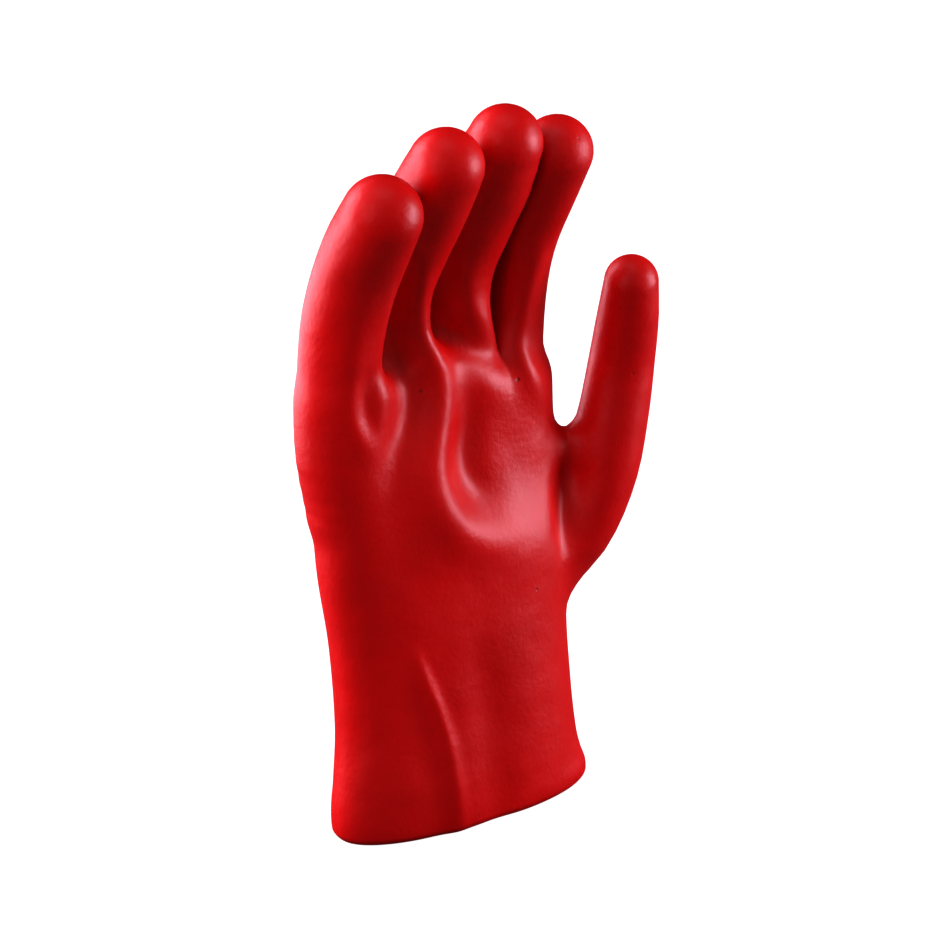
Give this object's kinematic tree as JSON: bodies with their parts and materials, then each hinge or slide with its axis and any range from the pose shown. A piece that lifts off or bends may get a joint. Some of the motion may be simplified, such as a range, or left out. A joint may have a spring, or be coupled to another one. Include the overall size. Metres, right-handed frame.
{
  "type": "pvc coated work glove",
  "caption": "Right-hand work glove with a smooth PVC coating all over, a flared cuff with a rounded edge, separate fingers and thumb, and an open hollow for the hand.",
  "frame": {"origin": "middle of the glove's outline seen from above, on the floor that the edge of its cuff stands on", "axes": "+Z from the cuff to the fingertips, +X to the thumb's side, -Y to the palm's side"},
  "size_m": [0.1412, 0.0664, 0.2628],
  "materials": {
    "pvc_coating": "smooth semi-gloss red PVC, faintly uneven like dipped plastic"
  },
  "bodies": {
    "root": {"glove_shell": "pvc_coating"}
  },
  "joints": []
}
